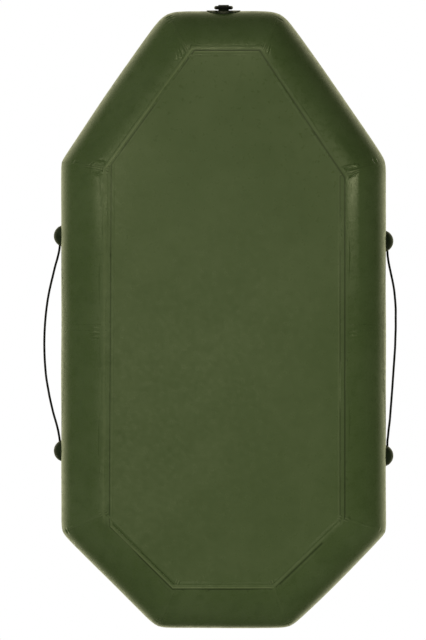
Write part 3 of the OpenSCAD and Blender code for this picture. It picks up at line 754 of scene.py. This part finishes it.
# The strip welded over the seam between the tubes and the floor, edge by edge clockwise from the
# starboard bow corner. Each band across it is where it starts (an inset in mm), how proud it is there
# (mm) and its tone, if not the normal one. The other tones paint light and shade on the seam: the paler
# bands are painted highlights and the darkest ones painted shade. All strips have as many bands, so
# they join at the corners.
STRIP = [
    [(122, 0), (128, 0.1, SOFT_PAINTED_HIGHLIGHT), (131.5, 0.3, PAINTED_HIGHLIGHT), (135.5, 0.25), (140, 0.1, PAINTED_SHADE), (144, 0.25, SOFT_PAINTED_HIGHLIGHT),
     (148.5, 0.2), (150, 0.1), (151, 0.1), (153, 0)],
    [(112, 0), (120, 0.1), (130, 0.15, SOFT_PAINTED_HIGHLIGHT), (139, 0.15), (150.5, 0.05, PAINTED_SHADE), (153, 0.2),
     (157, 0.25, SOFT_PAINTED_HIGHLIGHT), (160, 0.1), (162, 0.1), (165, 0)],
    [(106, 0), (110, 0.1), (112, 0.1), (114, 0.1), (116, 0.1, PAINTED_SHADE), (120, 0.5, PAINTED_HIGHLIGHT),
     (123.5, 0.25, SOFT_PAINTED_HIGHLIGHT), (126, 0.1), (128, 0.1), (131, 0)],
    [(112, 0), (115, 0.1), (117, 0.1), (118.5, 0.1), (119.5, 0.1, PAINTED_SHADE), (124, 0.7, PAINTED_HIGHLIGHT), (128, 0.3),
     (132, 0.2, SOFT_PAINTED_HIGHLIGHT), (136, 0.1, PAINTED_SHADE), (139.5, 0)],
    [(106, 0), (110, 0.1), (113, 0.2, SOFT_PAINTED_HIGHLIGHT), (117, 0.1), (119.5, 0.1, PAINTED_SHADE), (124.5, 0.1),
     (127.5, 0.3, SOFT_PAINTED_HIGHLIGHT), (132.5, 0.2), (135, 0.1, PAINTED_SHADE), (138, 0)],
    [(110, 0), (116, 0.1), (119, 0.2), (122, 0.2), (125.5, 0.1, PAINTED_SHADE), (130, 0.3), (141, 0.15, PAINTED_SHADE),
     (143.5, 0.25, SOFT_PAINTED_HIGHLIGHT), (149, 0.1), (155, 0)],
    [(118, 0), (121, 0.1), (124, 0.1, SOFT_PAINTED_HIGHLIGHT), (128, 0.1), (131.5, 0.05, PAINTED_SHADE), (136, 0.2),
     (140, 0.1, SOFT_PAINTED_HIGHLIGHT), (143, 0.1), (144, 0.1), (146, 0)],
    [(102, 0), (109, 0.1), (113.5, 0.2, SOFT_PAINTED_HIGHLIGHT), (118.5, 0.25), (121, 0.05, PAINTED_SHADE), (125.5, 0.55, PAINTED_HIGHLIGHT),
     (129, 0.3), (133, 0.1), (135, 0.1), (137, 0)],
]
# How far under the skin a strip's two rims are tucked.
BURIED = -0.6 * MM
# Ripples across a strip, by edge: where they are, how far they reach, how far apart they are and how
# high, in mm.
RIPPLES = {1: (-50, 14, 13.5, 0.9), 5: (360, 70, 17, 0.6)}


def floor_strip():
    """The strip over the floor's seam, as one closed ring."""
    insets = np.array([[band[0] for band in edge] for edge in STRIP]) * MM
    heights = np.array([[band[1] for band in edge] for edge in STRIP]) * MM
    rings = [inset_points(insets[:, j])[CORNERS] for j in range(insets.shape[1])]
    rows, tones = [], []
    for i, (edge, proud) in enumerate(zip(STRIP, heights)):
        after = (i + 1) % len(STRIP)
        count = int(np.linalg.norm(rings[0][after] - rings[0][i]) / (4 * MM))
        proud[0] = proud[-1] = BURIED
        for fraction in np.arange(count) / count:
            place_at = np.array([ring[i] + fraction * (ring[after] - ring[i]) for ring in rings])
            near = max(0.0, 1 - count * min(fraction, 1 - fraction) / 4)
            other = heights[i - 1] if fraction < 0.5 else heights[after]
            lift = proud + (other - proud) * near / 2
            lift = lift + 0.05 * MM * math.sin(place_at[0, 1] * 31 + place_at[0, 0] * 47)
            if i in RIPPLES:
                y = place_at[:, 1] / MM
                at, reach, apart, depth = RIPPLES[i]
                inside = np.exp(-((y - at) / reach) ** 2)
                middle = np.exp(-((np.linspace(0, 1, len(y)) - 0.5) / 0.4) ** 2)
                wave = 0.5 + 0.5 * np.cos((y - at) * 2 * math.pi / apart)
                lift = lift + inside * middle * depth * MM * wave
            rows.append(np.column_stack([place_at, lift]))
            tones.append([(*band, NORMAL)[2] for band in edge[:-1]])
    grid = np.array(rows)
    inset = depth_inside(grid[..., 0], grid[..., 1])
    tube = AXIS_Z - np.sqrt(TUBE_R**2 - np.clip(TUBE_R - inset, 0, TUBE_R) ** 2)
    sheet = floor_surface(grid[..., 0], grid[..., 1])
    past_tube = np.minimum(tube + (inset - TUBE_R) * 0.3, sheet)
    under = np.where(inset < TUBE_R, tube, past_tube) - grid[..., 2]
    bottom = np.dstack([grid[..., :2], np.maximum(under, 0.05 * MM)])
    top = bottom[:, ::-1] + (0, 0, 0.8 * MM)
    mesh = grid_mesh("floor_tapes", np.hstack([bottom, top])[:, ::-1], wrap_rows=True, wrap_columns=True)
    columns = 2 * bottom.shape[1]
    index = np.zeros((len(rows), columns), int)
    index[:, bottom.shape[1]:columns - 1] = np.array(tones)[:, ::-1]
    mesh.polygons.foreach_set("material_index", index.ravel())
    return mesh


def merged(name, meshes):
    """Several meshes made into one."""
    points, faces, tones = [], [], []
    for mesh in meshes:
        base = len(points)
        points += [vertex.co[:] for vertex in mesh.vertices]
        faces += [[base + i for i in face.vertices] for face in mesh.polygons]
        tones += [face.material_index for face in mesh.polygons]
        bpy.data.meshes.remove(mesh)
    mesh = bpy.data.meshes.new(name)
    mesh.from_pydata(points, [], faces)
    mesh.polygons.foreach_set("material_index", tones)
    mesh.shade_smooth()
    return mesh


# Across a corner's band, from -1 to 1: how proud it is, and the tone up to the next place. Painted
# shade darkens its two edges and the seam in its middle, and a painted highlight runs beside the first
# edge and beside the seam.
BAND = [(-1.0, -0.5, PAINTED_SHADE), (-0.8, 0.8, PAINTED_HIGHLIGHT), (-0.6, 1.0, NORMAL), (-0.12, 0.7, PAINTED_SHADE),
        (0.1, 0.9, PAINTED_HIGHLIGHT), (0.32, 1.0, NORMAL), (0.8, 0.8, PAINTED_SHADE), (1.0, -0.5, NORMAL)]


def ring_tape(k, inner_half, outer_half, lift, painted_reach=0.0):
    """A band round the tube at point k: inner_half wide by the floor, outer_half at the outside.

    Its lines of painted shade and painted highlight are painted on the underside only, from the floor
    outboard as far round as its last argument; elsewhere the shade lines take the soft painted highlight
    tone.
    """
    outboard = (1 + np.cos(THETA)) / 2
    half = inner_half + (outer_half - inner_half) * outboard
    rows = [skin_grid((AT_POINT[:, k] + u * half)[None, :], high * lift) for u, high, _ in BAND]
    rows += [skin_grid((AT_POINT[:, k] + u * half)[None, :], -1.2 * MM) for u in (0.8, -0.8)]
    mesh = grid_mesh("band", np.vstack(rows), wrap_rows=True, wrap_columns=True)
    tones = np.zeros((len(rows), ROUND), int)
    band = np.array([tone for *_, tone in BAND])[:, None]
    tones[:len(BAND)] = np.where(band == PAINTED_SHADE, SOFT_PAINTED_HIGHLIGHT, NORMAL)
    tones[:len(BAND), (GIRTH > -40 * MM) & (GIRTH < painted_reach)] = band
    mesh.polygons.foreach_set("material_index", tones.ravel())
    return mesh


# ---- Materials --------------------------------------------------------------

def srgb(r, g, b):
    """A linear colour from the 0 to 255 values that a screen shows."""
    return (*[((c / 255 + 0.055) / 1.055) ** 2.4 if c > 10 else c / 255 / 12.92 for c in (r, g, b)], 1)


def material(name, roughness, **settings):
    """A plain material: returns it, its tree and its coordinates."""
    made = bpy.data.materials.new(name)
    made.use_nodes = True
    tree = made.node_tree
    shader = tree.nodes["Principled BSDF"]
    shader.inputs["Roughness"].default_value = roughness
    for socket, value in settings.items():
        shader.inputs[socket.replace("_", " ")].default_value = value
    return made, tree, new_node(tree, "TexCoord").outputs["Object"]


def surfaced(made, colour, normal, rough=None):
    """The material with its colour, its bumps and how its roughness varies."""
    tree = made.node_tree
    for socket, value in (("Base Color", colour), ("Roughness", rough), ("Normal", normal)):
        if value:
            tree.links.new(value, tree.nodes["Principled BSDF"].inputs[socket])
    return made


def noise(tree, vector, scale, detail=3.0, rough=0.5):
    return new_node(tree, "TexNoise", Vector=vector, Scale=scale, Detail=detail, Roughness=rough).outputs[0]


def stretched(tree, vector, *scale):
    return new_node(tree, "Mapping", Vector=vector, Scale=scale).outputs[0]


def bump(tree, height, distance, strength, under=None):
    made = new_node(tree, "Bump", Height=height, Distance=distance, Strength=strength)
    if under:
        tree.links.new(under, made.inputs["Normal"])
    return made.outputs[0]


def tinted(tree, under, over, value, low, high, strength=None):
    """Colour under, going over to another colour as a value rises from low to high."""
    factor = remap(tree, value, low, high)
    if strength:
        factor = maths(tree, "MULTIPLY", factor, strength)
    return mix(tree, factor, under, over)


def coated_fabric(name, base, light, dark, roughness, wrinkle=0.35):
    """Coated fabric: a fine pressed weave, faint mottling, scuffs and shallow wrinkles."""
    made, tree, where = material(name, roughness)
    broad = noise(tree, where, 4.5, 3.0, 0.55)
    cloud = noise(tree, where, 26.0, 4.0, 0.6)
    grain = noise(tree, where, 240.0, 3.0, 0.65)
    colour = tinted(tree, base, light, broad, 0.36, 0.66)
    colour = tinted(tree, colour, dark, cloud, 0.45, 0.75, 0.45)
    colour = tinted(tree, colour, light, grain, 0.42, 0.72, 0.35)
    scuff = noise(tree, stretched(tree, where, 60, 9, 40), 2.0, 5.0, 0.7)
    colour = tinted(tree, colour, light, scuff, 0.62, 0.78, 0.25)
    rough = remap(tree, noise(tree, where, 60.0, 4.0, 0.6), 0.3, 0.7, roughness - 0.06, roughness + 0.08)
    cells = new_node(tree, "TexVoronoi", Vector=where, Scale=620.0).outputs["Distance"]
    fine = bump(tree, cells, 0.05 * MM, 0.7)
    medium = bump(tree, grain, 0.16 * MM, 0.8, fine)
    shallow = bump(tree, noise(tree, where, 34.0, 2.0, 0.45), wrinkle * MM, 0.6, medium)
    return surfaced(made, colour, shallow, rough)


def moulded_plastic(name, base, light, roughness):
    """Moulded plastic: a spark-eroded grain, faint flow marks and polished high spots."""
    made, tree, where = material(name, roughness)
    flow = noise(tree, where, 55.0, 4.0, 0.6)
    colour = tinted(tree, base, light, flow, 0.35, 0.7)
    rough = remap(tree, noise(tree, where, 320.0, 3.0, 0.6), 0.3, 0.7, roughness - 0.08, roughness + 0.1)
    grain = bump(tree, noise(tree, where, 1900.0, 2.0, 0.6), 0.05 * MM, 0.8)
    dimples = bump(tree, noise(tree, where, 210.0, 3.0, 0.5), 0.12 * MM, 0.5, grain)
    return surfaced(made, colour, dimples, rough)


def braided_rope(name):
    """Black braid: fibres that run along each strand, with dusty high spots."""
    made, tree, where = material(name, 0.62, Sheen_Weight=0.15, Sheen_Roughness=0.5)
    fibre = noise(tree, stretched(tree, where, 3, 1, 3), 420.0, 3.0, 0.6)
    dust = noise(tree, where, 45.0, 3.0, 0.6)
    colour = tinted(tree, srgb(9, 9, 8), srgb(31, 30, 27), fibre, 0.3, 0.7)
    colour = tinted(tree, colour, srgb(54, 52, 44), dust, 0.5, 0.8, 0.4)
    return surfaced(made, colour, bump(tree, fibre, 0.25 * MM, 0.9))


def brushed_steel(name):
    made, tree, where = material(name, 0.3, Metallic=1.0)
    brushed = noise(tree, stretched(tree, where, 1, 18, 18), 160.0, 3.0, 0.6)
    colour = mix(tree, brushed, srgb(150, 150, 148), srgb(196, 195, 190))
    return surfaced(made, colour, bump(tree, brushed, 0.03 * MM, 0.6),
                    remap(tree, brushed, 0.3, 0.7, 0.22, 0.4))


def rubber(name, base, light):
    made, tree, where = material(name, 0.7)
    dust = noise(tree, where, 90.0, 4.0, 0.6)
    return surfaced(made, tinted(tree, base, light, dust, 0.4, 0.75),
                    bump(tree, noise(tree, where, 900.0, 2.0), 0.05 * MM, 0.7))


def plywood(name, board):
    """Varnished plywood: long grain on the faces, and its plies as bands round the edge."""
    low, high = board
    made, tree, where = material(name, 0.34, Coat_Weight=0.45, Coat_Roughness=0.14)
    along = stretched(tree, where, 3.2, 30, 3)
    warp = noise(tree, along, 1.3, 3.0, 0.5)
    rings = new_node(tree, "TexWave", Vector=along, Scale=0.9, Distortion=7.0, Detail=3.0,
                     Detail_Scale=1.2, Detail_Roughness=0.6)
    rings.bands_direction = "Y"
    colour = mix(tree, rings.outputs["Color"], srgb(196, 156, 104), srgb(168, 122, 74))
    colour = tinted(tree, colour, srgb(206, 170, 120), warp, 0.35, 0.7)
    pores = noise(tree, stretched(tree, where, 14, 420, 60), 2.4, 3.0, 0.7)
    colour = tinted(tree, colour, srgb(112, 76, 42), pores, 0.6, 0.75, 0.5)
    height = new_node(tree, "SeparateXYZ", Vector=where).outputs["Z"]
    ply = maths(tree, "FRACT", maths(tree, "MULTIPLY", maths(tree, "SUBTRACT", height, low.z),
                                     2.5 / (high.z - low.z)))
    plies = mix(tree, remap(tree, ply, 0.44, 0.56), srgb(122, 84, 48), srgb(190, 150, 100))
    specks = maths(tree, "MULTIPLY", noise(tree, where, 320.0, 3.0, 0.7), 0.5)
    plies = mix(tree, specks, plies, srgb(92, 62, 36))
    normal = new_node(tree, "NewGeometry").outputs["Normal"]
    upright = new_node(tree, "SeparateXYZ", Vector=normal).outputs["Z"]
    face = remap(tree, maths(tree, "ABSOLUTE", upright), 0.5, 0.8)
    return surfaced(made, mix(tree, face, plies, colour), bump(tree, pores, 0.05 * MM, 0.6))


fabric = coated_fabric("hull_fabric", srgb(80, 98, 57), srgb(88, 105, 66), srgb(69, 87, 47), 0.29)
floor_fabric = coated_fabric("floor_fabric", srgb(82, 100, 59), srgb(88, 105, 65), srgb(74, 92, 51),
                             0.32, wrinkle=0.2)
tape_fabric = coated_fabric("tape_fabric", srgb(80, 98, 57), srgb(88, 105, 66), srgb(69, 87, 48), 0.33)
# Lighter and darker copies of the tape fabric, for painted highlights and painted shade in thin lines along
# the seams. The first is a full painted highlight and the last painted shade. The middle one is a paler
# tape: a soft painted highlight on the seams, and the rowlock patches' own colour.
tape_painted_highlight = coated_fabric("tape_painted_highlight", srgb(102, 118, 75), srgb(112, 126, 87), srgb(88, 104, 64), 0.33)
paler_tape_soft_highlight = coated_fabric("paler_tape_soft_highlight", srgb(86, 103, 62), srgb(94, 110, 71), srgb(76, 94, 53), 0.33)
tape_painted_shade = coated_fabric("tape_painted_shade", srgb(54, 69, 35), srgb(62, 77, 43), srgb(45, 59, 29), 0.45)
fitting = moulded_plastic("moulded_fitting", srgb(34, 46, 26), srgb(46, 58, 36), 0.5)
black = moulded_plastic("black_plastic", srgb(20, 20, 20), srgb(31, 31, 30), 0.42)
poppet = moulded_plastic("poppet_plastic", srgb(150, 150, 144), srgb(176, 175, 168), 0.45)
glide = moulded_plastic("slider_plastic", srgb(26, 27, 28), srgb(38, 39, 40), 0.36)
seal = rubber("seal_rubber", srgb(38, 37, 36), srgb(66, 64, 60))
rope = braided_rope("rope")
steel = brushed_steel("stainless")
wood = plywood("plywood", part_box("seat_board"))

FINISH = {
    "hull_fabric": fabric, "floor_fabric": floor_fabric, "seam_tape": tape_fabric,
    "bulkhead_fabric": fabric, "moulded_fitting": fitting, "rope": rope, "black_plastic": black,
    "poppet_plastic": poppet, "seal_rubber": seal, "stainless": steel, "plywood": wood,
    "slider_plastic": glide,
}


# The edges of moulded, turned and sawn parts are broken by this much, in mm.
EDGE = {"moulded_fitting": 0.6, "black_plastic": 0.4, "poppet_plastic": 0.3, "stainless": 0.3,
        "plywood": 1.2, "slider_plastic": 0.5}


def finish_node(name, slot_name):
    """Gives a CAD node its procedural finish and rounds its edges a little."""
    node = nodes[name]
    node.data.materials.clear()
    node.data.materials.append(FINISH[slot_name])
    if slot_name in EDGE:
        rounding = node.modifiers.new("edges", "BEVEL")
        rounding.width = EDGE[slot_name] * MM
        rounding.segments = 2
        rounding.limit_method = "ANGLE"
        rounding.angle_limit = math.radians(42)


for part in frame["record"]["subparts"]:
    finish_node(part["node"], part["material_slot"])

# ---- The boat's pieces ------------------------------------------------------

bow_skin = chamber_skin("bow_chamber_skin", PORT_BULKHEAD, STARBOARD_BULKHEAD, fabric)
stern_skin = chamber_skin("stern_chamber_skin", STARBOARD_BULKHEAD, PORT_BULKHEAD, fabric)
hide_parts("bow_tube", "starboard_bow_tube", "starboard_fore_tube",
            "port_bow_tube", "port_fore_tube")
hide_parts("stern_tube", "starboard_stern_tube", "starboard_aft_tube",
            "port_stern_tube", "port_aft_tube")

floor = floor_piece(floor_fabric)
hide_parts("floor_panel")

# By tone: the tape's own colour, its painted highlight, its soft painted highlight and its painted shade.
TAPE_TONES = (tape_fabric, tape_painted_highlight, paler_tape_soft_highlight, tape_painted_shade)
floor_tapes = place("floor_tapes", floor_strip(), *TAPE_TONES)
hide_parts("floor_seam_tape")

# How far outboard round the tube each corner's painted shade and highlight lines reach, in mm.
PAINTED_LINES_REACH = {STARBOARD_BOW: 34, STARBOARD_SHOULDER: 62, STARBOARD_QUARTER: 12, PORT_QUARTER: 14,
          PORT_SHOULDER: 52, PORT_BOW: 30}
corner_tapes = place("corner_tapes", merged("corner_tapes", [
    ring_tape(k, 13 * MM, 4.5 * MM, 0.4 * MM, PAINTED_LINES_REACH.get(k, 0) * MM) for k in CORNERS]), *TAPE_TONES)
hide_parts("corner_seam_tapes")
chamber_tapes = place("chamber_tapes", merged("chamber_tapes", [
    ring_tape(k, 10 * MM, 10 * MM, 0.2 * MM) for k in BULKHEADS]), fabric)
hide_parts("chamber_seam_tapes")
for piece, slot_name in ((bow_skin, "hull_fabric"), (stern_skin, "hull_fabric"),
                         (floor, "floor_fabric"), (floor_tapes, "seam_tape"),
                         (corner_tapes, "seam_tape"), (chamber_tapes, "seam_tape")):
    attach(piece, "hull")
for a, b in zip(inset_points(FLOOR_INSET), np.roll(inset_points(FLOOR_INSET), -1, 0)):
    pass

for side, sign in (("starboard", 1), ("port", -1)):
    base_low, base_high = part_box(side + "_rowlock_patch")
    piece = patch(side + "_fabric_patch", sign, (base_low.y + base_high.y) / 2,
                  (base_high.y - base_low.y) / 2, 1.2 * MM)
    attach(piece, "hull")
    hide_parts(side + "_rowlock_patch")

for side, route, exit in (("starboard", STARBOARD_ROUTE, (0.505, 0.236, 0.181)),
                          ("port", PORT_ROUTE, (-0.505, 0.220, 0.181))):
    line, length = smooth_route(route, 2 * MM)
    mesh = braided_tube(side + "_rope", line, ROPE_D / 2)
    piece = place(side + "_rope", mesh, rope)
    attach(piece, "hull")
    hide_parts(side + "_grab_line")


def valve_spring(v):
    """The poppet's spring: a wire coil with its end turns closed up."""
    foot, out = valve_axis(v)
    across = np.array([1.0, 0, 0])
    over = np.cross(out, across)
    t = np.linspace(0, 1, 60 * TURNS)[:, None]
    turn = 2 * math.pi * TURNS * t
    rise = (np.clip((t - 0.12) / 0.76, 0, 1) * 0.86 + 0.07 * np.clip(t / 0.12, 0, 1)
            + 0.07 * np.clip((t - 0.88) / 0.12, 0, 1))
    height = SPRING[0] + WIRE_R + rise * (SPRING[1] - SPRING[0] - 2 * WIRE_R)
    line = foot + COIL_R * (np.cos(turn) * across + np.sin(turn) * over) + height * out
    piece = place(v + "_spring", round_tube(v + "_spring", line, WIRE_R * 0.95, out, 10), steel)
    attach(piece, "hull")
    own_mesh(piece)
    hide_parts(v + "_valve_spring")


for v in ("bow", "stern"):
    valve_spring(v)
    tether = place(v + "_tether", nodes[v + "_valve_tether"].data.copy())
    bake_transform(tether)
    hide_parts(v + "_valve_tether")
